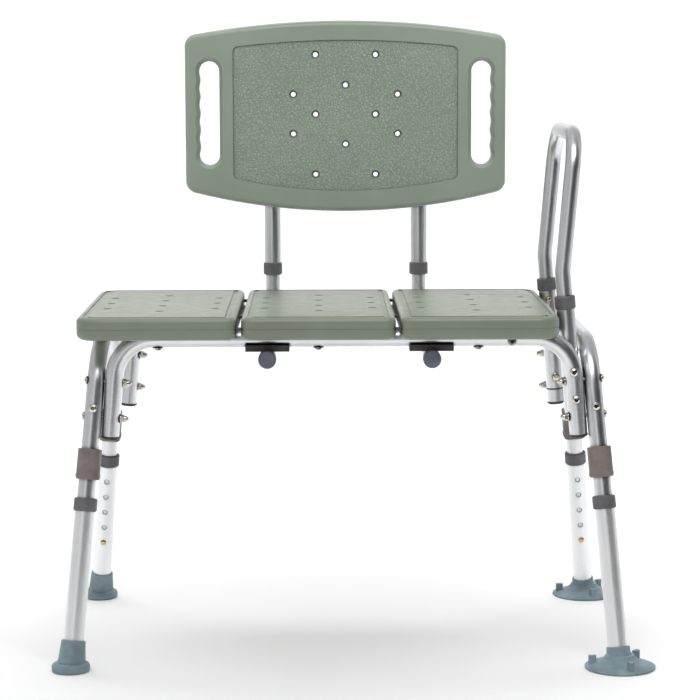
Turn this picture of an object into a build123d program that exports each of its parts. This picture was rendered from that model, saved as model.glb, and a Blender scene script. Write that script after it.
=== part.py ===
from build123d import *
import math
import os

os.makedirs("parts", exist_ok=True)

# Bath transfer bench. X runs along the seat with the armrest at +X, the user faces -Y, +Z is up.
# Everything is laid out about the middle of the leg frame at floor level. The last step moves it
# so that the origin is at the middle of the bottom of the whole bench's box.

# ---- tubes ----
TUBE_D = 25.4
SLIM_D = 22.2
LEG_D = 28.6
TUBE_WALL = 1.3
NECK_GAP = 0.1

# ---- leg frame ----
LEG_OUT = 0.0875
LEG_SPLAY = 0.1775
LEG_REF_Z = 450.0
LEG_REF_X = 345.5
LEG_REF_Y = 147.2
SIDE_TOP_Z = 449.0
SIDE_BEND_R = 70.0
INNER_LEG_END_Z = 78.0
RAIL_Y = 160.5
RAIL_Z = 460.0
RAIL_BEND_R = 57.0
RAIL_END_Z = 322.0
RAIL_TO_LEG = 25.8

# ---- adjustable legs ----
HOLE_PITCH = 25.4
HOLE_COUNT = 5
BUTTON_D = 8.0
BUTTON_HOLE_D = 8.6
BUTTON_PROUD = 2.2
PRESS_TRAVEL = 4.0
BUTTON_Z = 97.0
LEG_COLLAR_Z = 219.5
LEG_COLLAR_H = 18.5
LEG_COLLAR_D = 32.8
LEG_TUBE_END = 10.0
SLEEVE_Z = 284.5
SLEEVE_H = 43.0
SLEEVE_X = 32.0
SLEEVE_Y = 35.0

# ---- feet ----
TIP_NECK_D = 34.0
TIP_NECK_Z = 42.0
TIP_BASE_D = 53.5
TIP_BASE_H = 12.5
CUP_D = 99.0
CUP_NECK_D = 33.0
CUP_NECK_Z = 29.0
CUP_LUG_R = 39.0
CUP_LUG_TOP = 17.5
CUP_LUG_ANGLES = (-75, 48, 178)

# ---- seat ----
SEAT_LEFT = -373.5
SEAT_DEPTH = 406.0
SEAT_Y = -11.0
SEAT_TOP = 494.0
SEAT_T = 32.0
PANEL_WIDTHS = (223.0, 215.0, 222.0)
PANEL_GAP = 6.5
OUTER_CORNER_R = 30.0
INNER_CORNER_R = 14.0
SEAT_EDGE_R = 7.0
SEAT_UNDER_R = 9.0
SKIN = 2.6
DRAIN_D = 9.0
DRAIN_MOUTH_D = 13.0
DRAIN_STEP_X = 77.5
DRAIN_STEP_Y = 72.0

# ---- backrest ----
BACK_X = 7.0
BACK_W = 499.0
BACK_FRONT_Y = 232.0
BACK_T = 28.0
BACK_TOP_Z = 908.0
BACK_TOP_CORNER_Z = 884.5
BACK_LOW_Z = 612.0
BACK_LOW_CORNER_Z = 645.0
BACK_CORNER_R = 19.0
BACK_EDGE_R = 8.0
RECESS_W = 350.0
RECESS_DEPTH = 2.0
SLOT_X = 212.0
SLOT_W = 31.5
SLOT_Z = 765.0
SLOT_L = 161.0
SCALLOPS = 5
SCALLOP_DEPTH = 1.8
POST_X = 115.2
POST_Y = 268.0
POST_LOW_Z = 512.0
POST_TOP_Z = 842.0
POST_COLLAR_D = 29.4
POST_COLLAR_H = 19.0
BACK_TUBE_Z = 432.7
BACK_TUBE_FRONT_Y = -190.0
BACK_TUBE_TOP_Z = 640.0
BACK_TUBE_BEND_R = 60.0
SADDLE_X = 62.0
SADDLE_Y = 30.0
SADDLE_LOW_Z = 442.3
SADDLE_H = 8.8

# ---- armrest ----
ARM_Y = 134.6
ARM_INBOARD = 2.0
ARM_TOP_Z = 743.5
ARM_VERTEX_Z = 550.0
ARM_TOP_X = 326.0
ARM_BEND_R = 52.0
ARM_KINK_R = 60.0
ARM_END_Z = 426.0
SOCKET_LOW_Z = 347.0
SOCKET_TOP_Z = 507.0
ARM_BUTTON_Z = 484.0

# ---- fasteners ----
BOLT_D = 6.0
BOLT_HOLE_D = 6.4
LEG_BOLT_Z = (399.0, 349.0)
SOCKET_BOLT_Z = {"front": (411.0, 372.0), "rear": (409.0, 364.0)}
CROSS_BOLT_Z = 361.0

SIDES = {"left": -1, "right": 1}
ENDS = {"front": -1, "rear": 1}
CORNERS = [(end, side) for end in ENDS for side in SIDES]
TILT = math.atan(LEG_OUT)

parts = {}


def leg_point(s, e, z):
    """A point on a leg's centreline at height z; s is the side, e the end."""
    drop = LEG_REF_Z - z
    return Vector(s * (LEG_REF_X + LEG_OUT * drop), e * (LEG_REF_Y + LEG_SPLAY * drop), z)


def leg_down(s, e):
    """The direction down a leg."""
    return Vector(s * LEG_OUT, e * LEG_SPLAY, -1).normalized()


def rail_x(z):
    """Distance from the middle plane to a rail's turned-down end at height z."""
    return LEG_REF_X + LEG_OUT * (LEG_REF_Z - z) - RAIL_TO_LEG


def rod(p, q, diameter):
    """A round bar from p to q."""
    along = Vector(q) - Vector(p)
    section = Plane(origin=p, z_dir=along) * Circle(diameter / 2)
    return extrude(section, along.length)


def pipe(p, q, outer, inner):
    """A round sleeve from p to q."""
    along = Vector(q) - Vector(p)
    section = Plane(origin=p, z_dir=along) * (Circle(outer / 2) - Circle(inner / 2))
    return extrude(section, along.length)


def bent_tube(points, radii, outer):
    """A thin-walled tube along straight runs joined by bends."""
    path = FilletPolyline(*points, radius=radii)
    ring = Circle(outer / 2) - Circle(outer / 2 - TUBE_WALL)
    return sweep(Plane(origin=path @ 0, z_dir=path % 0) * ring, path=path)


def turned(profile, origin, z_dir):
    """A solid of revolution: profile is (radius, height) points about the axis z_dir at origin."""
    face = make_face(Plane.XZ * Polyline(*profile, close=True))
    return Plane(origin=origin, z_dir=z_dir) * revolve(face, Axis.Z)


def domed_collar(origin, along, diameter, height, bore):
    """A plastic collar with softened rims."""
    soft = 1.4
    profile = [
        (bore / 2, 0),
        (diameter / 2 - soft, 0),
        (diameter / 2, soft),
        (diameter / 2, height - soft),
        (diameter / 2 - soft, height),
        (bore / 2, height),
    ]
    return turned(profile, origin, along)


# ---------------------------------------------------------------- fasteners

SEAT_GAP = 0.03
HEAD_R = 5.8
HEAD_H = 3.4
NUT_AF = 10.0
NUT_H = 5.0


def button_bolt(under_head, along, length):
    """A domed socket-head bolt; along points from the head into the shank."""
    out = -along
    head_profile = [
        (0, 0),
        (HEAD_R, 0),
        (HEAD_R, 0.9),
        (HEAD_R * 0.86, 2.3),
        (HEAD_R * 0.55, HEAD_H),
        (0, HEAD_H),
    ]
    head = turned(head_profile, under_head, out)
    key = Plane(origin=under_head + out * (HEAD_H - 2.2), z_dir=out) * RegularPolygon(2.9, 6)
    shank = rod(under_head - along * 0.5, under_head + along * length, BOLT_D)
    return head + shank - extrude(key, 3)


def acorn_nut(seat, along):
    """A flanged acorn nut with a blind bore; along points away from the joint."""
    flange = turned([(0, 0), (6.4, 0), (6.4, 0.8), (5.4, 1.4), (0, 1.4)], seat, along)
    hexagon = extrude(Plane(origin=seat, z_dir=along) * RegularPolygon(NUT_AF / 2, 6, major_radius=False), NUT_H)
    dome_r = NUT_AF / 2 - 0.3
    dome = turned(
        [(0, 0), (dome_r, 0)] + [(dome_r * math.cos(a), NUT_H + 7.0 * math.sin(a))
                                 for a in [math.radians(t) for t in range(0, 90, 15)]] + [(0, NUT_H + 7.0)],
        seat, along)
    bore = rod(seat - along * 0.5, seat + along * 8.0, BOLT_D)
    return flange + hexagon + dome - bore


def bolted(head_at, nut_at):
    """A bolt from head_at whose nut bears at nut_at. Returns bolt, nut and the drill that clears it."""
    along = (nut_at - head_at).normalized()
    grip = (nut_at - head_at).length
    bolt = button_bolt(head_at, along, grip + 7.5)
    nut = acorn_nut(nut_at, along)
    drill = rod(head_at - along * 2, nut_at + along * 2, BOLT_HOLE_D)
    return bolt, nut, drill


def leg_bolt_ends(s, e, z):
    """Where a side bolt's head and nut bear: the leg's outer face and the rail end's inner face."""
    y = (leg_point(s, e, z).Y + e * RAIL_Y) / 2
    across = Vector(s * math.cos(TILT), 0, math.sin(TILT))
    leg_mid = Vector(s * (rail_x(z) + RAIL_TO_LEG), y, z)
    rail_mid = Vector(s * rail_x(z), y, z)
    centre = (leg_mid + rail_mid) * 0.5
    half = RAIL_TO_LEG * math.cos(TILT) / 2 + TUBE_D / 2 + SEAT_GAP
    return centre + across * half, centre - across * half


leg_bolts = []
leg_nuts = []
leg_drills = {corner: [] for corner in CORNERS}
for end, side in CORNERS:
    for z in LEG_BOLT_Z:
        head_at, nut_at = leg_bolt_ends(SIDES[side], ENDS[end], z)
        bolt, nut, drill = bolted(head_at, nut_at)
        leg_bolts.append(bolt)
        leg_nuts.append(nut)
        leg_drills[end, side].append(drill)

cross_screws = []
cross_drills = {}
for side, s in SIDES.items():
    middle = leg_point(s, -1, CROSS_BOLT_Z)
    forward = Vector(0, -1, LEG_SPLAY).normalized()
    screw = button_bolt(middle + forward * (TUBE_D / 2 + SEAT_GAP), -forward, TUBE_D + 2.5)
    cross_screws.append(screw)
    cross_drills[side] = rod(middle + forward * 16, middle - forward * 16, BOLT_HOLE_D)

socket_bolts = []
socket_nuts = []
socket_drills = {end: [] for end in ENDS}
for end, e in ENDS.items():
    for z in SOCKET_BOLT_Z[end]:
        x = rail_x(z) - ARM_INBOARD / 2
        outer = Vector(x, e * (RAIL_Y + TUBE_D / 2 + SEAT_GAP), z)
        inner = Vector(x, e * (ARM_Y - TUBE_D / 2 - SEAT_GAP), z)
        bolt, nut, drill = bolted(outer, inner)
        socket_bolts.append(bolt)
        socket_nuts.append(nut)
        socket_drills[end].append(drill)

parts["leg_bolts"] = leg_bolts
parts["leg_bolt_nuts"] = leg_nuts
parts["leg_cross_screws"] = cross_screws
parts["socket_bolts"] = socket_bolts
parts["socket_bolt_nuts"] = socket_nuts

# ---------------------------------------------------------------- seat layout, needed for its screws

panel_spans = []
start = SEAT_LEFT
for width in PANEL_WIDTHS:
    panel_spans.append((start, start + width))
    start += width + PANEL_GAP
panel_mids = [(low + high) / 2 for low, high in panel_spans]

SCREW_D = 5.0
SCREW_TOP_Z = 480.0
WASHER_R = 7.5
seat_screws = []
screw_drills = {end: [] for end in ENDS}
screw_holes = []
for end, e in ENDS.items():
    for x in panel_mids:
        seat_at = Vector(x, e * RAIL_Y, RAIL_Z - TUBE_D / 2 - SEAT_GAP)
        washer = turned([(0, -1.2), (WASHER_R, -1.2), (WASHER_R, 0), (0, 0)], seat_at, Vector(0, 0, 1))
        head = turned([(0, -4.6), (3.0, -4.6), (4.6, -3.2), (4.6, -1), (0, -1)], seat_at, Vector(0, 0, 1))
        shank = rod(seat_at - Vector(0, 0, 0.5), Vector(x, e * RAIL_Y, SCREW_TOP_Z), SCREW_D)
        seat_screws.append(washer + head + shank)
        hole = rod(seat_at - Vector(0, 0, 6), Vector(x, e * RAIL_Y, SCREW_TOP_Z + 1), SCREW_D + 0.4)
        screw_drills[end].append(hole)
        screw_holes.append(hole)
parts["seat_screws"] = seat_screws

# one dark screw shows on the front of the front rail, near the armrest
RAIL_SCREW_X = 235.0
rail_screw_at = Vector(RAIL_SCREW_X, -RAIL_Y - TUBE_D / 2 - SEAT_GAP, RAIL_Z - 4.6)
parts["rail_front_screw"] = [button_bolt(rail_screw_at, Vector(0, 1, 0), 14)]
screw_drills["front"].append(rod(rail_screw_at - Vector(0, 2, 0), rail_screw_at + Vector(0, 6, 0), BOLT_HOLE_D))

# ---------------------------------------------------------------- back tubes, saddles, end caps

saddles = []
saddle_bolts = []
saddle_drills = {}
end_caps = []
back_tubes = {}
for side, s in SIDES.items():
    x = BACK_X + s * POST_X
    tube = bent_tube(
        [(x, BACK_TUBE_FRONT_Y, BACK_TUBE_Z), (x, POST_Y, BACK_TUBE_Z), (x, POST_Y, BACK_TUBE_TOP_Z)],
        BACK_TUBE_BEND_R, SLIM_D)
    for end, e in ENDS.items():
        y = e * RAIL_Y
        saddle = Pos(x, y, SADDLE_LOW_Z + SADDLE_H / 2) * Box(SADDLE_X, SADDLE_Y, SADDLE_H)
        saddle = fillet(saddle.edges().filter_by(Axis.Z), 1.2)
        saddle -= Pos(x, y, BACK_TUBE_Z) * Rot(90, 0, 0) * Cylinder(SLIM_D / 2 + 0.1, 60)
        saddle -= Pos(x, y, RAIL_Z) * Rot(0, 90, 0) * Cylinder(TUBE_D / 2 + 0.1, SADDLE_X + 10)
        low = Vector(x, y, BACK_TUBE_Z - SLIM_D / 2 - SEAT_GAP)
        up = Vector(0, 0, 1)
        bolt = button_bolt(low, up, 30.0)
        drill = rod(low - up * 2, low + up * 33, BOLT_HOLE_D)
        saddles.append(saddle - drill)
        saddle_bolts.append(bolt)
        saddle_drills[side, end] = drill
        tube -= drill
    button_at = Vector(x, POST_Y, POST_LOW_Z + POST_COLLAR_H + 24)
    tube -= rod(button_at, button_at + Vector(0, 20, 0), BUTTON_HOLE_D)
    back_tubes[side] = tube
    cap_at = Vector(x, BACK_TUBE_FRONT_Y + 14, BACK_TUBE_Z)
    cap = turned(
        [(0, 14), (SLIM_D / 2 + 0.1, 14), (SLIM_D / 2 + 0.1, 0), (SLIM_D / 2 + 1.6, 0), (SLIM_D / 2 + 1.6, 14.6),
         (SLIM_D / 2 + 0.8, 16.4), (SLIM_D / 2 - 2.0, 17.6), (0, 18.2)],
        cap_at, Vector(0, -1, 0))
    end_caps.append(cap)
parts["back_tube_left"] = [back_tubes["left"]]
parts["back_tube_right"] = [back_tubes["right"]]
parts["back_tube_saddles"] = saddles
parts["saddle_bolts"] = saddle_bolts
parts["back_tube_end_caps"] = end_caps

# ---------------------------------------------------------------- rails with their end plugs

plugs = []
for end, e in ENDS.items():
    y = e * RAIL_Y
    corner_x = rail_x(RAIL_Z)
    low_x = rail_x(RAIL_END_Z)
    rail = bent_tube(
        [(-low_x, y, RAIL_END_Z), (-corner_x, y, RAIL_Z), (corner_x, y, RAIL_Z), (low_x, y, RAIL_END_Z)],
        RAIL_BEND_R, TUBE_D)
    cutters = [d for side in SIDES for d in leg_drills[end, side]]
    cutters += socket_drills[end] + screw_drills[end] + [saddle_drills[side, end] for side in SIDES]
    for cutter in cutters:
        rail -= cutter
    parts[end + "_rail"] = [rail]
    for s in SIDES.values():
        out = Vector(s * LEG_OUT, 0, -1).normalized()
        bore_r = TUBE_D / 2 - TUBE_WALL - NECK_GAP
        plug = turned(
            [(0, -10), (bore_r, -10), (bore_r, 0), (TUBE_D / 2 + 0.5, 0), (TUBE_D / 2 + 0.5, 2.2),
             (TUBE_D / 2 - 1.6, 2.2), (TUBE_D / 2 - 1.6, 4.0), (0, 4.0)],
            Vector(s * low_x, y, RAIL_END_Z), out)
        plugs.append(plug)
parts["rail_end_plugs"] = plugs

# ---------------------------------------------------------------- side frames


def button_facing(end, side):
    """Which way a leg's snap button faces: towards the middle of the bench, front to back."""
    down = leg_down(SIDES[side], ENDS[end])
    rough = Vector(0, -ENDS[end], 0)
    return (rough - down * rough.dot(down)).normalized()


for side, s in SIDES.items():
    points = [leg_point(s, -1, INNER_LEG_END_Z), leg_point(s, -1, SIDE_TOP_Z),
              leg_point(s, 1, SIDE_TOP_Z), leg_point(s, 1, INNER_LEG_END_Z)]
    frame_tube = bent_tube([tuple(p) for p in points], SIDE_BEND_R, TUBE_D)
    for end in ENDS:
        for drill in leg_drills[end, side]:
            frame_tube -= drill
        middle = leg_point(s, ENDS[end], BUTTON_Z)
        facing = button_facing(end, side)
        frame_tube -= rod(middle, middle + facing * 20, BUTTON_HOLE_D)
    frame_tube -= cross_drills[side]
    parts["side_frame_" + side] = [frame_tube]

# ---------------------------------------------------------------- leg sleeves

sleeves = []
for end, side in CORNERS:
    s = SIDES[side]
    e = ENDS[end]
    down = leg_down(s, e)
    top = leg_point(s, e, SLEEVE_Z) - down * (SLEEVE_H / 2)
    section = Plane(origin=top, z_dir=down, x_dir=Vector(1, 0, s * LEG_OUT))
    body = extrude(section * RectangleRounded(SLEEVE_X, SLEEVE_Y, 8), SLEEVE_H)
    rims = body.faces().sort_by(Axis(tuple(top), tuple(down)))
    body = fillet(rims[0].edges() + rims[-1].edges(), 1.2)
    lip_plane = Plane(origin=top + down * (SLEEVE_H - 7), z_dir=down, x_dir=section.x_dir)
    lip = extrude(lip_plane * RectangleRounded(SLEEVE_X + 1.8, SLEEVE_Y - 4, 8), 4)
    sleeves.append(body + lip - rod(top - down * 5, top + down * (SLEEVE_H + 5), TUBE_D + 2 * NECK_GAP))
parts["leg_sleeves"] = sleeves

# ---------------------------------------------------------------- adjustable legs, one body each


def snap_button(middle, facing, along, tube_inner, tube_outer):
    """A sprung V clip with its brass button: two thin leaves inside a tube and a domed pin."""
    leaf_r = tube_inner / 2 - 1.1
    reach = tube_outer / 2 + BUTTON_PROUD
    pin_profile = [(0, leaf_r - 0.3), (BUTTON_D / 2, leaf_r - 0.3), (BUTTON_D / 2, reach - 1.6),
                   (BUTTON_D / 2 - 1.0, reach - 0.5), (BUTTON_D / 2 - 2.4, reach), (0, reach)]
    pin = turned(pin_profile, middle, facing)
    side_dir = along.cross(facing).normalized()
    frame = Plane(origin=middle, x_dir=along, z_dir=side_dir)
    # in this plane x runs along the tube and y away from the button
    toward = 1 if frame.y_dir.dot(facing) > 0 else -1
    t = 0.8
    y1 = toward * leaf_r
    back = -toward * (leaf_r - PRESS_TRAVEL - 0.8)
    outline = [(-7, y1), (8, y1), (44, back), (-4, back), (-4, back + toward * t), (40, back + toward * t),
               (7.4, y1 - toward * t), (-7, y1 - toward * t)]
    leaf = extrude(frame * make_face(Polyline(*outline, close=True)), 3.5, both=True)
    return pin + leaf


for end, side in CORNERS:
    s = SIDES[side]
    e = ENDS[end]
    tag = end + "_" + side
    down = leg_down(s, e)
    facing = button_facing(end, side)
    top = leg_point(s, e, LEG_COLLAR_Z + LEG_COLLAR_H - 2.5)
    low = leg_point(s, e, LEG_TUBE_END)
    tube = pipe(top, low, LEG_D, LEG_D - 2 * TUBE_WALL)
    for n in range(HOLE_COUNT):
        middle = leg_point(s, e, BUTTON_Z) - down * (HOLE_PITCH * n)
        tube -= rod(middle, middle + facing * 20, BUTTON_HOLE_D)
    parts["leg_tube_" + tag] = [tube]
    collar_low = leg_point(s, e, LEG_COLLAR_Z)
    collar = domed_collar(collar_low, -down, LEG_COLLAR_D, LEG_COLLAR_H, TUBE_D + 0.6)
    collar -= rod(low, top, LEG_D + 2 * NECK_GAP)
    parts["leg_collar_" + tag] = [collar]
    middle = leg_point(s, e, BUTTON_Z)
    clip = snap_button(middle, facing, -down, TUBE_D - 2 * TUBE_WALL, LEG_D)
    parts["leg_button_" + tag] = [clip]

# ---------------------------------------------------------------- feet


def rubber_tip(s, e):
    """A rubber ferrule: a ribbed neck along the leg on a level disc."""
    down = leg_down(s, e)
    ground = leg_point(s, e, 0)
    top = leg_point(s, e, TIP_NECK_Z)
    length = (ground - top).length + 10
    neck = turned(
        [(0, 0), (TIP_NECK_D / 2 - 1, 0), (TIP_NECK_D / 2, 1), (TIP_NECK_D / 2 + 0.2, 5), (TIP_NECK_D / 2 + 2.2, 27),
         (TIP_NECK_D / 2 + 3.4, 31), (TIP_NECK_D / 2 + 4, length), (0, length)],
        top, down)
    disc = turned(
        [(0, 0), (TIP_BASE_D / 2 - 2.5, 0), (TIP_BASE_D / 2 - 0.4, 1.4), (TIP_BASE_D / 2, 3),
         (TIP_BASE_D / 2, TIP_BASE_H - 4.5), (TIP_BASE_D / 2 - 1.5, TIP_BASE_H - 1.8),
         (TIP_BASE_D / 2 - 5, TIP_BASE_H), (0, TIP_BASE_H)],
        ground, Vector(0, 0, 1))
    tip = neck + disc
    tip -= Pos(ground.X, ground.Y, -50) * Box(150, 150, 100)
    return tip - rod(leg_point(s, e, LEG_TUBE_END) + down * NECK_GAP, top - down * 10, LEG_D + 2 * NECK_GAP)


def suction_cup(s, e):
    """A suction-cup foot: flared dome, hollow underneath, with three release lugs."""
    down = leg_down(s, e)
    ground = leg_point(s, e, 0)
    top = leg_point(s, e, CUP_NECK_Z)
    r = CUP_D / 2
    dome = turned(
        [(0, 6.0), (10, 5.6), (r - 14, 2.2), (r - 5, 0), (r - 1.5, 0), (r, 1.2), (r, 3.0),
         (r - 4, 4.8), (r - 12, 7.0), (r - 20, 9.8), (r - 26.5, 14.2), (r - 30, 19.5), (0, 19.5)],
        ground, Vector(0, 0, 1))
    neck = turned(
        [(0, 0), (CUP_NECK_D / 2 - 0.8, 0), (CUP_NECK_D / 2, 0.8), (CUP_NECK_D / 2 + 0.4, 8),
         (CUP_NECK_D / 2 + 2.0, 14), (CUP_NECK_D / 2 + 2.4, 19), (0, 19)],
        top, down)
    cup = dome + neck
    for angle in CUP_LUG_ANGLES:
        at = ground + Vector(CUP_LUG_R, 0, 0).rotate(Axis.Z, angle)
        lug = Pos(at.X, at.Y, (3.2 + CUP_LUG_TOP) / 2) * Rot(0, 0, angle) * Box(11.0, 7.0, CUP_LUG_TOP - 3.2)
        cup += fillet(lug.edges().filter_by(Axis.Z), 1.5)
    if e > 0:
        # the rear cup's neck has a small slit in its front lip
        cup -= Pos(top.X, top.Y - CUP_NECK_D / 2, top.Z) * Box(3.6, 12, 9)
    return cup - rod(leg_point(s, e, LEG_TUBE_END) + down * NECK_GAP, top - down * 10, LEG_D + 2 * NECK_GAP)


for end, e in ENDS.items():
    parts["foot_tip_" + end] = [rubber_tip(-1, e)]
    parts["suction_cup_" + end] = [suction_cup(1, e)]

# ---------------------------------------------------------------- armrest and its sockets


def arm_x(z):
    """The armrest posts' and sockets' centreline below the kink."""
    return rail_x(z) - ARM_INBOARD


arm_down = Vector(LEG_OUT, 0, -1).normalized()
socket_collars = []
socket_plugs = []
for end, e in ENDS.items():
    y = e * ARM_Y
    low = Vector(arm_x(SOCKET_LOW_Z), y, SOCKET_LOW_Z)
    high = Vector(arm_x(SOCKET_TOP_Z), y, SOCKET_TOP_Z)
    socket = pipe(low, high, TUBE_D, TUBE_D - 2 * TUBE_WALL)
    for drill in socket_drills[end]:
        socket -= drill
    middle = Vector(arm_x(ARM_BUTTON_Z), y, ARM_BUTTON_Z)
    inward = Vector(0, -e, 0)
    socket -= rod(middle, middle + inward * 20, BUTTON_HOLE_D)
    parts["arm_socket_" + end] = [socket]
    bore_r = TUBE_D / 2 - TUBE_WALL - NECK_GAP
    socket_plugs.append(turned(
        [(0, -10), (bore_r, -10), (bore_r, 0), (TUBE_D / 2 + 0.3, 0), (TUBE_D / 2 + 0.3, 1.8),
         (TUBE_D / 2 - 1.2, 2.6), (0, 2.6)], low, arm_down))
    collar_low = Vector(arm_x(497), y, 497)
    collar = domed_collar(collar_low, -arm_down, 29.4, 18.5, SLIM_D + 0.6)
    collar -= rod(low, high, TUBE_D + 2 * NECK_GAP)
    socket_collars.append(collar)
    parts["arm_button_" + end] = [snap_button(middle, inward, -arm_down, SLIM_D - 2 * TUBE_WALL, TUBE_D)]
parts["arm_socket_collars"] = socket_collars
parts["arm_socket_plugs"] = socket_plugs

arm_points = []
for e in (-1, 1):
    run = [(arm_x(ARM_END_Z), e * ARM_Y, ARM_END_Z), (arm_x(ARM_VERTEX_Z), e * ARM_Y, ARM_VERTEX_Z),
           (ARM_TOP_X, e * ARM_Y, ARM_TOP_Z)]
    arm_points += run if e < 0 else run[::-1]
armrest = bent_tube(arm_points, [ARM_KINK_R, ARM_BEND_R, ARM_BEND_R, ARM_KINK_R], SLIM_D)
for e in (-1, 1):
    middle = Vector(arm_x(ARM_BUTTON_Z), e * ARM_Y, ARM_BUTTON_Z)
    armrest -= rod(middle, middle - Vector(0, e * 20, 0), BUTTON_HOLE_D)
parts["armrest_tube"] = [armrest]

# ---------------------------------------------------------------- seat panels

RAIL_CHANNEL_R = TUBE_D / 2 + 0.2
GROOVE_INSET = 9.0
GROOVE_W = 7.0
GROOVE_DEPTH = 1.6
seat_under = SEAT_TOP - SEAT_T
SEAM_Z = seat_under + 15.5
drain_spots = [(dx, dy) for dx, rows in ((-1, (-1, 0, 1)), (0, (-1.5, -0.5, 0.5, 1.5)), (1, (-1, 0, 1)))
               for dy in rows]


def panel_outline(low, high, corner_radii):
    """The plan of one seat panel, with its own radius at each corner (left pair, right pair)."""
    plan = Pos((low + high) / 2, SEAT_Y) * Rectangle(high - low, SEAT_DEPTH)
    by_x = plan.vertices().group_by(Axis.X)
    plan = fillet(by_x[0], corner_radii[0])
    return fillet(plan.vertices().group_by(Axis.X)[-1], corner_radii[1])


def seat_panel(index):
    """One hollow blow-moulded seat panel with drain holes, a rim groove and channels for the rails."""
    low, high = panel_spans[index]
    radii = [INNER_CORNER_R, INNER_CORNER_R]
    if index == 0:
        radii[0] = OUTER_CORNER_R
    if index == 2:
        radii[1] = OUTER_CORNER_R
    plan = panel_outline(low, high, radii)
    body = Pos(0, 0, seat_under) * extrude(plan, SEAT_T)
    body = fillet(body.faces().sort_by(Axis.Z)[-1].edges(), SEAT_EDGE_R)
    body = fillet(body.faces().sort_by(Axis.Z)[0].edges(), SEAT_UNDER_R)
    mid_x = (low + high) / 2
    ring = offset(plan, -GROOVE_INSET) - offset(plan, -GROOVE_INSET - GROOVE_W)
    body -= Pos(0, 0, SEAT_TOP - GROOVE_DEPTH) * extrude(ring, 5)
    seam = offset(plan, 2) - offset(plan, -0.3)
    body -= Pos(0, 0, SEAM_Z) * extrude(seam, 0.6)
    cavity = Pos(0, 0, seat_under + SKIN) * extrude(offset(plan, -SKIN - 3.5), SEAT_T - 2 * SKIN - GROOVE_DEPTH)
    for e in ENDS.values():
        channel = Pos(mid_x, e * RAIL_Y, RAIL_Z) * Rot(0, 90, 0)
        cavity -= channel * Cylinder(RAIL_CHANNEL_R + SKIN, high - low + 40)
        cavity -= Pos(mid_x, e * RAIL_Y, seat_under + SEAT_T / 2) * Cylinder(7, SEAT_T)
        body -= channel * Cylinder(RAIL_CHANNEL_R, high - low + 40)
    for dx, dy in drain_spots:
        at = Pos(mid_x + dx * DRAIN_STEP_X, SEAT_Y + dy * DRAIN_STEP_Y, 0)
        cavity -= at * Pos(0, 0, SEAT_TOP - SEAT_T / 2) * Cylinder(DRAIN_MOUTH_D / 2 + SKIN, SEAT_T + 2)
        body -= at * Pos(0, 0, SEAT_TOP - SEAT_T / 2) * Cylinder(DRAIN_D / 2, SEAT_T + 2)
        funnel_h = (DRAIN_MOUTH_D - DRAIN_D) / 2
        body -= at * Pos(0, 0, SEAT_TOP - funnel_h / 2) * Cone(DRAIN_D / 2, DRAIN_MOUTH_D / 2, funnel_h)
    for hole in screw_holes:
        body -= hole
    return body - cavity


for index, name in enumerate(("left", "center", "right")):
    parts["seat_panel_" + name] = [seat_panel(index)]

links = []
link_ys = (SEAT_Y - SEAT_DEPTH / 2 + 9, SEAT_Y - 38, SEAT_Y + SEAT_DEPTH / 2 - 9)
for left, right in ((0, 1), (1, 2)):
    gap_mid = (panel_spans[left][1] + panel_spans[right][0]) / 2
    for y in link_ys:
        links.append(Pos(gap_mid, y, SEAM_Z) * Box(PANEL_GAP, 12, 4.0))
parts["panel_links"] = links

# ---------------------------------------------------------------- backrest, one body


def arched(width, top_mid, top_side, low_mid, low_side, corner):
    """An upright plan with a bowed top and bottom, drawn in XZ."""
    half = width / 2
    outline = Wire([
        ThreePointArc((-half, top_side), (0, top_mid), (half, top_side)).edge(),
        Line((half, top_side), (half, low_side)).edge(),
        ThreePointArc((half, low_side), (0, low_mid), (-half, low_side)).edge(),
        Line((-half, low_side), (-half, top_side)).edge(),
    ])
    face = make_face(outline)
    return fillet(face.vertices(), corner)


def handle_slot(grow):
    """The right handle slot's throat: a long rounded slot with finger waves on its outer side."""
    half_w = SLOT_W / 2 + grow
    half_l = SLOT_L / 2 + grow
    straight = half_l - half_w
    steps = SCALLOPS * 8
    waves = [(half_w - SCALLOP_DEPTH * (1 - math.cos(2 * math.pi * SCALLOPS * k / steps)) / 2,
              straight - 2 * straight * k / steps) for k in range(steps + 1)]
    outline = Wire([
        Spline(waves, tangents=((0, -1), (0, -1))).edge(),
        ThreePointArc((half_w, -straight), (0, -half_l), (-half_w, -straight)).edge(),
        Line((-half_w, -straight), (-half_w, straight)).edge(),
        ThreePointArc((-half_w, straight), (0, half_l), (half_w, straight)).edge(),
    ])
    return make_face(outline)


def upright(plan, y, depth):
    """Extrudes an XZ plan backwards from the plane at y, centred on the backrest."""
    face_plane = Plane(origin=(BACK_X, y, 0), x_dir=(1, 0, 0), z_dir=(0, -1, 0))
    return extrude(face_plane * plan, -depth)


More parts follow.
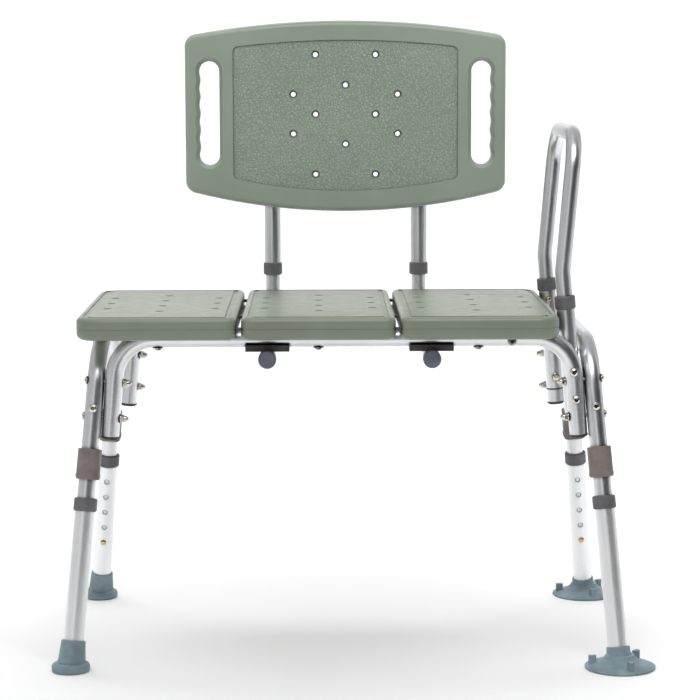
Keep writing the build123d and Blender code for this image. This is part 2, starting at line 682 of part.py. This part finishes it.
back_plan = arched(BACK_W, BACK_TOP_Z, BACK_TOP_CORNER_Z, BACK_LOW_Z, BACK_LOW_CORNER_Z, BACK_CORNER_R)
panel = upright(back_plan, BACK_FRONT_Y, BACK_T)
panel = fillet(panel.faces().sort_by(Axis.Y)[0].edges(), BACK_EDGE_R)
panel = fillet(panel.faces().sort_by(Axis.Y)[-1].edges(), 5.0)
back_cavity = upright(offset(back_plan, -SKIN - 2), BACK_FRONT_Y + SKIN + RECESS_DEPTH, BACK_T - 2 * SKIN - RECESS_DEPTH)
recess_plan = arched(RECESS_W, 878.0, 867.5, 644.0, 663.5, 9.0)
panel -= upright(recess_plan, BACK_FRONT_Y - 1, RECESS_DEPTH + 1)
for s in SIDES.values():
    slot = handle_slot(0)
    grown = handle_slot(SKIN + 5.5)
    mouth = handle_slot(5.5)
    if s < 0:
        slot, grown, mouth = (mirror(face, Plane.YZ) for face in (slot, grown, mouth))
    place = Pos(s * SLOT_X, SLOT_Z)
    panel -= upright(place * slot, BACK_FRONT_Y - 5, BACK_T + 10)
    back_cavity -= upright(place * grown, BACK_FRONT_Y - 5, BACK_T + 10)
    front_plane = Plane(origin=(BACK_X, BACK_FRONT_Y, 0), x_dir=(1, 0, 0), z_dir=(0, -1, 0))
    deep_plane = Plane(origin=(BACK_X, BACK_FRONT_Y + 9, 0), x_dir=(1, 0, 0), z_dir=(0, -1, 0))
    funnel = loft([front_plane * place * mouth, deep_plane * place * slot])
    panel -= funnel

VENT_D = 7.6
VENT_MOUTH_D = 13.0
vents = [(s * 46.7, z) for s in (-1, 1) for z in (855.3, 763.0, 669.5)]
vents += [(s * 81.3, z) for s in (-1, 1) for z in (794.0, 732.6)]
vents += [(0, 808.4), (0, 716.7)]
for x, z in vents:
    at = Pos(BACK_X + x, BACK_FRONT_Y + BACK_T / 2, z) * Rot(90, 0, 0)
    panel -= at * Cylinder(VENT_D / 2, BACK_T + 10)
    back_cavity -= at * Cylinder(VENT_MOUTH_D / 2 + SKIN, BACK_T + 10)
    mouth_depth = 5.5
    mouth_at = Pos(BACK_X + x, BACK_FRONT_Y + RECESS_DEPTH + mouth_depth / 2, z) * Rot(90, 0, 0)
    panel -= mouth_at * Cone(VENT_D / 2, VENT_MOUTH_D / 2, mouth_depth)

POST_CHANNEL_R = TUBE_D / 2 + 0.15
PANEL_SCREW_Z = (700.0, 818.0)
panel_screws = []
post_collars = []
post_plugs = []
for side, s in SIDES.items():
    x = BACK_X + s * POST_X
    channel_z = (BACK_LOW_Z - 40 + POST_TOP_Z + 8) / 2
    channel_h = POST_TOP_Z + 8 - (BACK_LOW_Z - 40)
    channel = Pos(x, POST_Y, channel_z)
    panel -= channel * Cylinder(POST_CHANNEL_R, channel_h)
    back_cavity -= channel * Cylinder(POST_CHANNEL_R + SKIN, channel_h + 2 * SKIN)
    post = pipe(Vector(x, POST_Y, POST_LOW_Z), Vector(x, POST_Y, POST_TOP_Z), TUBE_D, TUBE_D - 2 * TUBE_WALL)
    button_at = Vector(x, POST_Y, POST_LOW_Z + POST_COLLAR_H + 24)
    post -= rod(button_at, button_at + Vector(0, 20, 0), BUTTON_HOLE_D)
    for z in PANEL_SCREW_Z:
        head_at = Vector(x, POST_Y + TUBE_D / 2 + SEAT_GAP, z)
        forward = Vector(0, -1, 0)
        panel_screws.append(button_bolt(head_at, forward, TUBE_D + 10))
        drill = rod(head_at - forward * 4, head_at + forward * (TUBE_D + 11), BOLT_HOLE_D)
        post -= drill
        panel -= drill
        back_cavity -= rod(head_at, head_at + forward * (TUBE_D + 15), BOLT_HOLE_D + 2 * SKIN)
    parts["back_post_" + side] = [post]
    collar = domed_collar(Vector(x, POST_Y, POST_LOW_Z - 1.5), Vector(0, 0, 1), POST_COLLAR_D, POST_COLLAR_H,
                          SLIM_D + 0.6)
    collar -= rod(Vector(x, POST_Y, POST_LOW_Z), Vector(x, POST_Y, POST_TOP_Z), TUBE_D + 2 * NECK_GAP)
    post_collars.append(collar)
    bore_r = TUBE_D / 2 - TUBE_WALL - NECK_GAP
    post_plugs.append(turned(
        [(0, -9), (bore_r, -9), (bore_r, 0), (TUBE_D / 2, 0), (TUBE_D / 2, 1.6), (TUBE_D / 2 - 1.4, 3.0), (0, 3.0)],
        Vector(x, POST_Y, POST_TOP_Z), Vector(0, 0, 1)))
    parts["back_button_" + side] = [
        snap_button(button_at, Vector(0, 1, 0), Vector(0, 0, 1), SLIM_D - 2 * TUBE_WALL, TUBE_D)]
parts["backrest_panel"] = [panel - back_cavity]
parts["backrest_screws"] = panel_screws
parts["back_post_collars"] = post_collars
parts["back_post_plugs"] = post_plugs

# ---------------------------------------------------------------- origin and files

whole = Compound([solid for shapes in parts.values() for shape in shapes for solid in shape.solids()])
box = whole.bounding_box()
to_origin = Pos(-(box.min.X + box.max.X) / 2, -(box.min.Y + box.max.Y) / 2, -box.min.Z)
print("moved by", to_origin.position)
for name, shapes in parts.items():
    solids = [to_origin * solid for shape in shapes for solid in shape.solids()]
    export_step(Compound(solids) if len(solids) > 1 else solids[0], f"parts/{name}.step")
print("nodes", len(parts))
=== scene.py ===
import math

import bpy
from mathutils import Matrix, Vector


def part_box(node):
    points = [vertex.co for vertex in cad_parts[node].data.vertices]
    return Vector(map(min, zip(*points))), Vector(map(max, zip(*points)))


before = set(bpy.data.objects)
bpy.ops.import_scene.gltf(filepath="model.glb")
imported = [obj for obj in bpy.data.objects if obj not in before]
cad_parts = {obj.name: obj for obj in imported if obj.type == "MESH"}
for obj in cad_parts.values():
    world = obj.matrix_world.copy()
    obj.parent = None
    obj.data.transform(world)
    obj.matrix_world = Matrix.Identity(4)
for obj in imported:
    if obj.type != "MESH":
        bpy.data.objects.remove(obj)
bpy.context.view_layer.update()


# ---------------------------------------------------------------- node helpers

class Graph:
    """Builds one material's node tree. Every call adds a node and returns its output socket."""

    def __init__(self, name):
        self.material = bpy.data.materials.new(name)
        self.material.use_nodes = True
        self.tree = self.material.node_tree
        self.shader = self.tree.nodes["Principled BSDF"]
        self.place = self.node("ShaderNodeTexCoord").outputs["Object"]

    def node(self, kind, **values):
        made = self.tree.nodes.new(kind)
        for key, value in values.items():
            setattr(made, key, value)
        return made

    def feed(self, socket, value):
        if isinstance(value, bpy.types.NodeSocket):
            self.tree.links.new(value, socket)
        else:
            socket.default_value = value

    def stretched(self, scale):
        """The place, scaled by its own factor along each axis."""
        made = self.node("ShaderNodeMapping")
        self.feed(made.inputs["Vector"], self.place)
        made.inputs["Scale"].default_value = scale
        return made.outputs["Vector"]

    def shaken(self, scale, reach):
        """The place, pushed about by coloured noise of that scale, by up to reach metres."""
        shake = self.node("ShaderNodeTexNoise")
        shake.inputs["Scale"].default_value = scale
        self.feed(shake.inputs["Vector"], self.place)
        push = self.node("ShaderNodeVectorMath", operation="SCALE")
        self.feed(push.inputs[0], shake.outputs["Color"])
        push.inputs["Scale"].default_value = reach
        made = self.node("ShaderNodeVectorMath", operation="ADD")
        self.feed(made.inputs[0], self.place)
        self.feed(made.inputs[1], push.outputs[0])
        return made.outputs[0]

    def noise(self, scale, detail=3.0, rough=0.55, at=None):
        made = self.node("ShaderNodeTexNoise")
        self.feed(made.inputs["Vector"], self.place if at is None else at)
        made.inputs["Scale"].default_value = scale
        made.inputs["Detail"].default_value = detail
        made.inputs["Roughness"].default_value = rough
        return made.outputs["Fac"]

    def cells(self, scale, feature="F1", at=None):
        made = self.node("ShaderNodeTexVoronoi", feature=feature)
        self.feed(made.inputs["Vector"], self.place if at is None else at)
        made.inputs["Scale"].default_value = scale
        return made.outputs["Distance"]

    def math(self, operation, a, b=0.0):
        made = self.node("ShaderNodeMath", operation=operation)
        self.feed(made.inputs[0], a)
        self.feed(made.inputs[1], b)
        return made.outputs[0]

    def times(self, a, b):
        return self.math("MULTIPLY", a, b)

    def span(self, value, low, high, to_low=0.0, to_high=1.0):
        """The value's range low to high, carried over to the range to_low to to_high and held there."""
        made = self.node("ShaderNodeMapRange", clamp=True)
        self.feed(made.inputs["Value"], value)
        made.inputs["From Min"].default_value = low
        made.inputs["From Max"].default_value = high
        made.inputs["To Min"].default_value = to_low
        made.inputs["To Max"].default_value = to_high
        return made.outputs["Result"]

    def mix(self, factor, a, b):
        """Colour a where the factor is 0, colour b where it is 1."""
        made = self.node("ShaderNodeMix", data_type="RGBA")
        self.feed(made.inputs["Factor"], factor)
        self.feed(made.inputs[6], a)
        self.feed(made.inputs[7], b)
        return made.outputs[2]

    def true_normal(self):
        return self.node("ShaderNodeNewGeometry").outputs["Normal"]

    def part_of(self, vector, axis):
        made = self.node("ShaderNodeSeparateXYZ")
        self.feed(made.inputs[0], vector)
        return made.outputs[axis]

    def soft_normal(self, radius):
        """The surface normal with every hard edge rounded to the radius."""
        made = self.node("ShaderNodeBevel", samples=4)
        made.inputs["Radius"].default_value = radius
        return made.outputs["Normal"]

    def painted_hollow_shade(self, distance, low, high):
        """1 deep in a hole or groove, 0 on open surface: the mask for painted shade; low and high are
        shares of open sky.
        """
        made = self.node("ShaderNodeAmbientOcclusion", samples=6)
        made.inputs["Distance"].default_value = distance
        return self.span(made.outputs["AO"], low, high, 1.0, 0.0)

    def edges(self):
        """1 along edges, where the rounded normal leaves the true one, and 0 elsewhere."""
        made = self.node("ShaderNodeVectorMath", operation="DOT_PRODUCT")
        self.feed(made.inputs[0], self.soft_normal(PANEL_EDGE))
        self.feed(made.inputs[1], self.true_normal())
        return self.span(made.outputs["Value"], 0.75, 0.96, 1.0, 0.0)

    def bump(self, height, distance, strength=1.0, under=None):
        made = self.node("ShaderNodeBump")
        self.feed(made.inputs["Height"], height)
        made.inputs["Distance"].default_value = distance
        made.inputs["Strength"].default_value = strength
        if under is not None:
            self.feed(made.inputs["Normal"], under)
        return made.outputs["Normal"]

    def set(self, **values):
        for key, value in values.items():
            self.feed(self.shader.inputs[key.replace("_", " ")], value)


def screen(colour, factor=1.0, lift=0.0):
    """A linear colour from three 0-255 screen values, each times the factor plus the lift."""
    def linear(value):
        share = min(255, value * factor + lift) / 255
        return share / 12.92 if share <= 0.04045 else ((share + 0.055) / 1.055) ** 2.4
    return tuple(linear(value) for value in colour) + (1.0,)


def grey(value):
    return (value, value, value, 1.0)


# ---------------------------------------------------------------- materials

SAGE = (152, 165, 150)          # backrest, screen values
SEAT_SAGE_PAINTED_DARKER = (126, 135, 119)     # seat: a warmer sage, painted darker to offset the stronger light it takes from above

NOISE_BAND = (0.3, 0.7)         # where nearly all of a noise's values lie

# Metres: the radii that the hard CAD edges show
PANEL_EDGE = 0.0012
SMALL_PART_EDGE = 0.0009
TUBE_EDGE = 0.0004
HARDWARE_EDGE = 0.0005

# Metres: how far off a wall the painted shade in a hole or groove still reaches
PANEL_HOLLOW = 0.012
TUBE_HOLLOW = 0.005
HARDWARE_HOLLOW = 0.0045

# Metres: heights of the fine surface textures
DUST_DEPTH = 0.00006
RUBBER_SPECK = 0.00012
PLASTIC_SPECK = 0.00008
DRAW_LINE_DEPTH = 0.00004
FROST_DEPTH = 0.00005
PLATING_DEPTH = 0.00002

GRAIN_WANDER = 0.0028           # metres by which the grain's creases wander
GRAIN_CREASE = 0.22             # half a crease's width, as a share of a cell
GRAIN_LOW = 0.75                # height of the grain's lowest ground
GRAIN_MIDDLE = 1.35             # below it the colour takes painted shade, above it a painted highlight
GRAIN_HIGH = 1.85               # height of its crowns

# Metres: the backrest's recessed field, from the middle to its side step, and behind the front
FIELD_HALF_WIDTH = 0.1735
FIELD_SIDE_STEP = 0.0020
FIELD_DEPTH = 0.0014
FIELD_DEPTH_STEP = 0.0005


def sage_plastic(name, sage, grain_mask, grain_scale, grain_depth, grain_painted_light):
    """Satin moulded plastic. Where grain_mask is 1 it has a pebbled leather grain.

    The grain is cells with creased borders, broken up by noise. A larger grain_scale makes it
    finer, grain_depth is its depth in metres, and grain_painted_light says how strongly painted shade
    darkens its creases and a painted highlight lightens its crowns. Holes and grooves get painted shade,
    and the rounded edges a painted highlight with some rubbing."""
    g = Graph(name)
    cloud = g.noise(7.0, detail=4.0)
    dust = g.noise(900.0, detail=2.0)
    base = g.mix(g.span(cloud, 0.35, 0.7), screen(sage, 0.97), screen(sage, 1.03))
    smooth = g.bump(dust, DUST_DEPTH, 0.6, g.soft_normal(PANEL_EDGE))

    mask = grain_mask(g)
    wandering = g.shaken(grain_scale * 0.5, GRAIN_WANDER)
    crease = g.cells(grain_scale * 0.62, "DISTANCE_TO_EDGE", at=wandering)
    patches = g.noise(grain_scale * 0.9, detail=2.0, rough=0.6)
    pebbles = g.math("ADD", g.span(crease, 0.0, GRAIN_CREASE), g.times(patches, 1.4))
    pebbles = g.times(pebbles, mask)
    # Painted shade darkens the grain's creases, and a painted highlight lightens its crowns.
    crease_painted_shade = g.times(g.span(pebbles, GRAIN_LOW, GRAIN_MIDDLE, 1.0, 0.0), mask)
    crown_painted_highlight = g.times(g.span(pebbles, GRAIN_MIDDLE, GRAIN_HIGH), mask)
    base = g.mix(g.times(crease_painted_shade, grain_painted_light), base, screen(sage, 0.70))
    base = g.mix(g.times(crown_painted_highlight, grain_painted_light * 1.5), base, screen(sage, 1.22))

    # Painted shade: the colour darkens deep in holes, slots and grooves.
    deep = g.painted_hollow_shade(PANEL_HOLLOW, 0.30, 0.95)
    # Painted highlight along the rounded edges, with some rubbing there too.
    base = g.mix(g.times(g.edges(), 0.25), base, screen(sage, 1.14))
    base = g.mix(g.times(deep, 0.75), base, screen(sage, 0.45))
    g.set(Base_Color=base, Normal=g.bump(pebbles, grain_depth, 1.0, smooth))
    g.set(Roughness=g.span(g.noise(60.0), *NOISE_BAND, 0.28, 0.38))
    g.set(Specular_IOR_Level=0.45, Coat_Weight=0.06, Coat_Roughness=0.35)
    return g.material


def brushed(name, along, bright, dull, rough):
    """Satin aluminium with a fine grain and faint draw lines. along is the tube's axis: 0 X, 1 Y, 2 Z."""
    across_scale, along_scale = 420.0, 6.0
    in_shade = (0.10, 0.10, 0.11, 1.0)
    g = Graph(name)
    drawn_out = g.stretched([along_scale if axis == along else across_scale for axis in range(3)])
    lines = g.noise(1.0, rough=0.6, at=drawn_out)
    frost = g.noise(1500.0, detail=2.0, rough=0.7)
    haze = g.noise(14.0)
    shade = g.math("ADD", g.times(lines, 0.6), g.times(haze, 0.4))
    metal = g.mix(g.span(shade, 0.3, 0.72), dull, bright)
    polish = g.math("ADD", g.times(frost, 0.5), g.times(lines, 0.5))
    # Painted shade: the colour goes nearly black deep in holes and grooves.
    deep = g.painted_hollow_shade(TUBE_HOLLOW, 0.35, 0.92)
    drawn = g.bump(lines, DRAW_LINE_DEPTH, 0.5, g.soft_normal(TUBE_EDGE))
    g.set(Base_Color=g.mix(g.times(deep, 0.9), metal, in_shade))
    g.set(Roughness=g.span(polish, *NOISE_BAND, *rough), Metallic=1.0)
    g.set(Normal=g.bump(frost, FROST_DEPTH, 0.7, drawn))
    return g.material


def moulded(name, colour, rough=(0.42, 0.58), speck=PLASTIC_SPECK, sheen=0.0):
    """Moulded plastic or rubber with a fine even texture, slight cloudiness and rubbed edges."""
    g = Graph(name)
    cloud = g.noise(35.0, detail=4.0)
    base = g.mix(g.span(cloud, *NOISE_BAND), screen(colour, 0.88), screen(colour, 1.12))
    base = g.mix(g.times(g.edges(), 0.35), base, screen(colour, 1.3, lift=8))
    g.set(Base_Color=base, Roughness=g.span(g.noise(120.0), *NOISE_BAND, *rough))
    g.set(Normal=g.bump(g.cells(1400.0), speck, 0.8, g.soft_normal(SMALL_PART_EDGE)))
    g.set(Sheen_Weight=sheen)
    return g.material


def plated(name, bright, dull, rough=(0.16, 0.30)):
    """Plated hardware: bright metal, duller in patches, with painted shade, nearly black, in its
    recesses.
    """
    g = Graph(name)
    stain = g.noise(260.0, detail=4.0)
    ripple = g.noise(1800.0, detail=2.0)
    # Painted shade: the colour goes nearly black deep in recesses.
    recess = tuple(channel * 0.10 for channel in dull[:3]) + (1.0,)
    base = g.mix(g.span(stain, 0.35, 0.75), bright, dull)
    base = g.mix(g.times(g.painted_hollow_shade(HARDWARE_HOLLOW, 0.45, 0.96), 0.95), base, recess)
    g.set(Base_Color=base, Roughness=g.span(stain, *NOISE_BAND, *rough), Metallic=1.0)
    g.set(Normal=g.bump(ripple, PLATING_DEPTH, 0.6, g.soft_normal(HARDWARE_EDGE)))
    return g.material


def back_field(g):
    """1 on the recessed field of the backrest's front face."""
    low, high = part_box("backrest_panel")
    from_middle = g.math("SUBTRACT", g.part_of(g.place, "X"), (low[0] + high[0]) / 2)
    sideways = g.math("ABSOLUTE", from_middle)
    inside = g.span(sideways, FIELD_HALF_WIDTH, FIELD_HALF_WIDTH + FIELD_SIDE_STEP, 1.0, 0.0)
    field = low[1] + FIELD_DEPTH
    deep = g.span(g.part_of(g.place, "Y"), field, field + FIELD_DEPTH_STEP)
    front = g.span(g.part_of(g.true_normal(), "Y"), -0.8, -0.6, 1.0, 0.0)
    return g.times(g.times(inside, deep), front)


def seat_field(g):
    """0.55 on the top of a seat panel, where the grain is fainter, and 0 elsewhere."""
    return g.times(g.span(g.part_of(g.true_normal(), "Z"), 0.85, 0.97), 0.55)


# Aluminium tubes: bright colour, dull colour, and the range of roughness
SATIN = ((0.86, 0.87, 0.885, 1.0), (0.70, 0.71, 0.73, 1.0), (0.28, 0.40))
FROSTED = ((0.96, 0.965, 0.975, 1.0), (0.88, 0.89, 0.90, 1.0), (0.38, 0.48))

materials = {
    "back": sage_plastic("sage_back", SAGE, back_field, 370.0, 0.0005, 0.28),
    "seat": sage_plastic("sage_seat", SEAT_SAGE_PAINTED_DARKER, seat_field, 700.0, 0.0003, 0.15),
    "tube_x": brushed("aluminium_x", 0, *SATIN),
    "tube_y": brushed("aluminium_y", 1, *SATIN),
    "tube_z": brushed("aluminium_z", 2, *SATIN),
    "frosted": brushed("aluminium_frosted", 2, *FROSTED),
    "collar": moulded("collar_grey", (98, 97, 100)),
    "sleeve": moulded("sleeve_taupe", (122, 112, 109), (0.5, 0.65)),
    "foot": moulded("foot_rubber", (124, 143, 152), (0.5, 0.68), RUBBER_SPECK, sheen=0.1),
    "black": moulded("black_plastic", (68, 64, 64), (0.4, 0.55)),
    "cap": moulded("cap_bluegrey", (92, 98, 110), (0.38, 0.5)),
    "brass": plated("button_brass", (0.80, 0.55, 0.22, 1.0), (0.60, 0.38, 0.13, 1.0)),
    "nickel": plated("nickel_hardware", (0.86, 0.82, 0.76, 1.0), (0.66, 0.61, 0.54, 1.0)),
    "screw": plated("dark_screws", (0.34, 0.32, 0.31, 1.0), (0.22, 0.20, 0.19, 1.0), (0.28, 0.45)),
}

# How each node's name starts, and its material. The first start that fits is used.
FINISH = {
    "backrest_panel": "back",
    "seat_panel": "seat",
    "front_rail": "tube_x",
    "rear_rail": "tube_x",
    "side_frame": "tube_z",
    "armrest_tube": "tube_z",
    "arm_socket_collars": "collar",
    "arm_socket_plugs": "black",
    "arm_socket": "tube_z",
    "arm_button": "brass",
    "back_button": "brass",
    "leg_button": "brass",
    "back_tube_end_caps": "cap",
    "back_tube_saddles": "black",
    "back_tube": "tube_y",
    "back_post_collars": "collar",
    "back_post_plugs": "black",
    "back_post": "tube_z",
    "leg_collar": "collar",
    "leg_sleeves": "sleeve",
    "leg_tube": "frosted",
    "leg_": "nickel",
    "foot_tip": "foot",
    "suction_cup": "foot",
    "socket_bolt": "nickel",
    "seat_screws": "nickel",
    "rail_front_screw": "screw",
    "saddle_bolts": "screw",
    "backrest_screws": "screw",
    "panel_links": "black",
    "rail_end_plugs": "black",
}

for node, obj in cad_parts.items():
    start = next(key for key in FINISH if node.startswith(key))
    for holder in obj.material_slots:
        holder.material = materials[FINISH[start]]


# ---------------------------------------------------------------- floor

FLOOR_HALF_WIDTH = 9.0
FLOOR_FRONT = -3.4              # y where the paper starts; to the camera it is clear here
FADE_FRONT = -1.6               # y from which it is solid to the camera
FADE_SIDES = (2.0, 4.5)         # distance to the side where it starts to fade, and where it is clear
MIRRORED_FROM = -1.2            # y from which shiny pieces reflect the paper
WALL_FOOT = 3.0                 # y where the floor starts to curve up
COVE_RADIUS = 1.5
COVE_STEPS = 16
WALL_TOP = 7.0


def paper_sheet(name, profile, material, mirrored):
    """One wide sheet of the backdrop, swept along X; mirrored says whether shiny pieces reflect it."""
    verts = [(x, y, z) for x in (-FLOOR_HALF_WIDTH, FLOOR_HALF_WIDTH) for y, z in profile]
    count = len(profile)
    faces = [(count + i, count + i + 1, i + 1, i) for i in range(count - 1)]
    mesh = bpy.data.meshes.new(name)
    mesh.from_pydata(verts, [], faces)
    for face in mesh.polygons:
        face.use_smooth = True
    mesh.materials.append(material)
    sheet = bpy.data.objects.new(name, mesh)
    sheet.visible_glossy = mirrored
    bpy.context.collection.objects.link(sheet)


def backdrop():
    """A pale floor that curves up into a wall behind the object.

    To the camera it is clear from its back, and fades out in front and at the sides, so that
    no angle meets a blank sheet or a hard edge. All other light still meets the whole paper."""
    g = Graph("studio_paper")
    solid = g.math("SUBTRACT", 1.0, g.node("ShaderNodeNewGeometry").outputs["Backfacing"])
    solid = g.times(solid, g.span(g.part_of(g.place, "Y"), FLOOR_FRONT, FADE_FRONT))
    sideways = g.math("ABSOLUTE", g.part_of(g.place, "X"))
    solid = g.times(solid, g.span(sideways, *FADE_SIDES, 1.0, 0.0))
    unseen = g.math("SUBTRACT", 1.0, g.node("ShaderNodeLightPath").outputs["Is Camera Ray"])
    g.set(Alpha=g.math("MAXIMUM", unseen, solid))
    g.set(Base_Color=g.mix(g.noise(0.8, detail=2.0), grey(0.93), grey(0.95)), Roughness=0.9)

    turns = [math.pi / 2 * step / COVE_STEPS for step in range(1, COVE_STEPS + 1)]
    cove = [(WALL_FOOT + COVE_RADIUS * math.sin(a), COVE_RADIUS * (1 - math.cos(a))) for a in turns]
    wall = [(WALL_FOOT + COVE_RADIUS, WALL_TOP)]
    floor = [(MIRRORED_FROM, 0.0), (WALL_FOOT, 0.0)]
    paper_sheet("studio_floor", floor + cove + wall, g.material, True)
    paper_sheet("studio_floor_front", [(FLOOR_FRONT, 0.0), (MIRRORED_FROM, 0.0)], g.material, False)


backdrop()


# ---------------------------------------------------------------- light

def softbox(name, at, aim, size, power, mirrored=True):
    """A rectangular lamp that the camera does not see; mirrored says whether shiny pieces show it."""
    data = bpy.data.lights.new(name, "AREA")
    data.shape = "RECTANGLE"
    data.size, data.size_y = size
    data.energy = power
    lamp = bpy.data.objects.new(name, data)
    lamp.location = at
    lamp.rotation_euler = (Vector(aim) - Vector(at)).to_track_quat("-Z", "Y").to_euler()
    lamp.visible_camera = False
    lamp.visible_glossy = mirrored
    bpy.context.collection.objects.link(lamp)


MIDDLE = (0, 0, 0.45)           # half-way up the bench

# How bright the room is in each direction
FAR_LEFT_CARD = 0.40
LEFT_SIDE = 0.95
RIGHT_SIDE = 0.0
BEHIND_OBJECT = 0.55
SEEN_BY_CAMERA = 0.9

softbox("key_front", at=(0.35, -1.8, 2.6), aim=(0, 0.1, 0.6), size=(1.8, 1.2), power=35)
softbox("left_strip", at=(-2.6, -1.6, 0.9), aim=MIDDLE, size=(1.5, 2.6), power=1.5)
softbox("right_strip", at=(2.7, 0.4, 1.3), aim=MIDDLE, size=(0.7, 2.6), power=2)
softbox("floor_wash", at=(0, 0.6, 3.6), aim=(0, 0.6, 0), size=(5.0, 4.0), power=60, mirrored=False)
softbox("wall_wash", at=(0, 1.4, 3.6), aim=(0, 3.6, 0.8), size=(5.0, 1.2), power=110, mirrored=False)


def studio_surround():
    """A pale room for the shiny pieces to reflect. Behind the camera it is dark on the right, and pale
    on the left with a darker card at the far left. The camera itself sees an even pale backdrop."""
    world = bpy.data.worlds.new("studio")
    world.use_nodes = True
    tree = world.node_tree
    coords = tree.nodes.new("ShaderNodeTexCoord")
    split = tree.nodes.new("ShaderNodeSeparateXYZ")
    tree.links.new(coords.outputs["Generated"], split.inputs[0])

    def ramp(axis, low, high, to_low, to_high):
        """From to_low to to_high as the looked-at direction's axis goes from low to high."""
        made = tree.nodes.new("ShaderNodeMapRange")
        made.interpolation_type = "SMOOTHSTEP"
        made.inputs["From Min"].default_value = low
        made.inputs["From Max"].default_value = high
        for name, value in (("To Min", to_low), ("To Max", to_high)):
            if isinstance(value, bpy.types.NodeSocket):
                tree.links.new(value, made.inputs[name])
            else:
                made.inputs[name].default_value = value
        tree.links.new(split.outputs[axis], made.inputs["Value"])
        return made.outputs["Result"]

    left_half = ramp("X", -0.5, -0.2, FAR_LEFT_CARD, LEFT_SIDE)
    behind_camera = ramp("X", -0.16, 0.04, left_half, RIGHT_SIDE)
    room = ramp("Y", -0.45, 0.45, behind_camera, BEHIND_OBJECT)
    seen = tree.nodes.new("ShaderNodeMix")
    tree.links.new(tree.nodes.new("ShaderNodeLightPath").outputs["Is Camera Ray"], seen.inputs["Factor"])
    tree.links.new(room, seen.inputs[2])
    seen.inputs[3].default_value = SEEN_BY_CAMERA
    shade = tree.nodes["Background"]
    shade.inputs["Color"].default_value = grey(1.0)
    tree.links.new(seen.outputs[0], shade.inputs["Strength"])
    bpy.context.scene.world = world


studio_surround()


# ---------------------------------------------------------------- camera

CAMERA_AT = Vector((-0.0472, -3.4401, 0.8505))
CAMERA_YAW = 0.0133             # radians, to the right of straight ahead
CAMERA_PITCH = 0.1239           # radians, down
CAMERA_ROLL = -0.0025           # radians
LENS_MM = 120.7
SENSOR_MM = 36.0


def camera_turn():
    """The camera's axes as the columns of a rotation."""
    level = math.cos(CAMERA_PITCH)
    ahead = Vector((math.sin(CAMERA_YAW) * level, math.cos(CAMERA_YAW) * level, -math.sin(CAMERA_PITCH)))
    right = Vector((math.cos(CAMERA_YAW), -math.sin(CAMERA_YAW), 0))
    upward = right.cross(ahead)
    rolled_right = right * math.cos(CAMERA_ROLL) + upward * math.sin(CAMERA_ROLL)
    rolled_up = upward * math.cos(CAMERA_ROLL) - right * math.sin(CAMERA_ROLL)
    return Matrix((rolled_right, rolled_up, -ahead)).transposed()


lens = bpy.data.cameras.new("camera")
lens.lens = LENS_MM
lens.sensor_width = SENSOR_MM
camera = bpy.data.objects.new("camera", lens)
camera.matrix_world = Matrix.Translation(CAMERA_AT) @ camera_turn().to_4x4()
bpy.context.collection.objects.link(camera)
bpy.context.scene.camera = camera
bpy.context.scene.view_settings.view_transform = "Standard"
